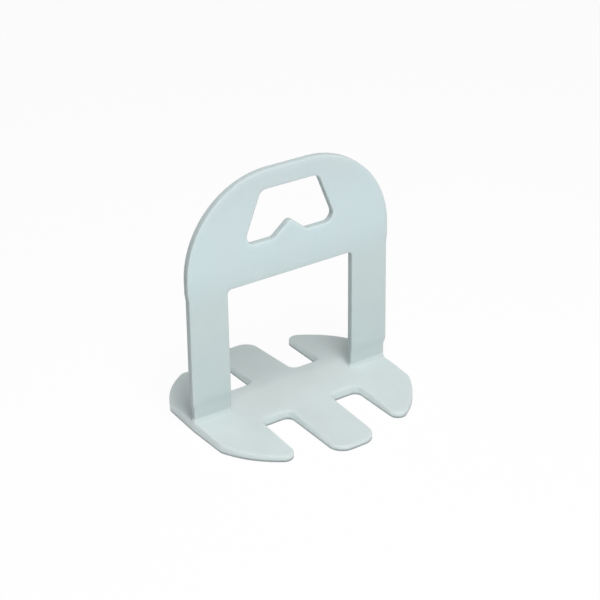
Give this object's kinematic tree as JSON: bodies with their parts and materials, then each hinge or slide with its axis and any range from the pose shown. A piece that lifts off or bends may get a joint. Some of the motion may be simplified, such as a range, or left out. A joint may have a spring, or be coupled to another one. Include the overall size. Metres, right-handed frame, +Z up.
{
  "type": "tile levelling clip",
  "caption": "Moulded plastic clip with a thin upright plate, wedge window, handle hole and forked base that lies under neighbouring tiles, so that a wedge can press them level.",
  "frame": {"origin": "centre of the flat underside of the base, below the middle of the plate", "axes": "+X along the width of the plate, +Y through its thickness, +Z up towards the handle"},
  "size_m": [0.0324, 0.0318, 0.0357],
  "materials": {
    "milky_plastic": "milky, slightly translucent moulded plastic with a soft sheen"
  },
  "bodies": {
    "root": {"levelling_clip": "milky_plastic"}
  },
  "joints": []
}
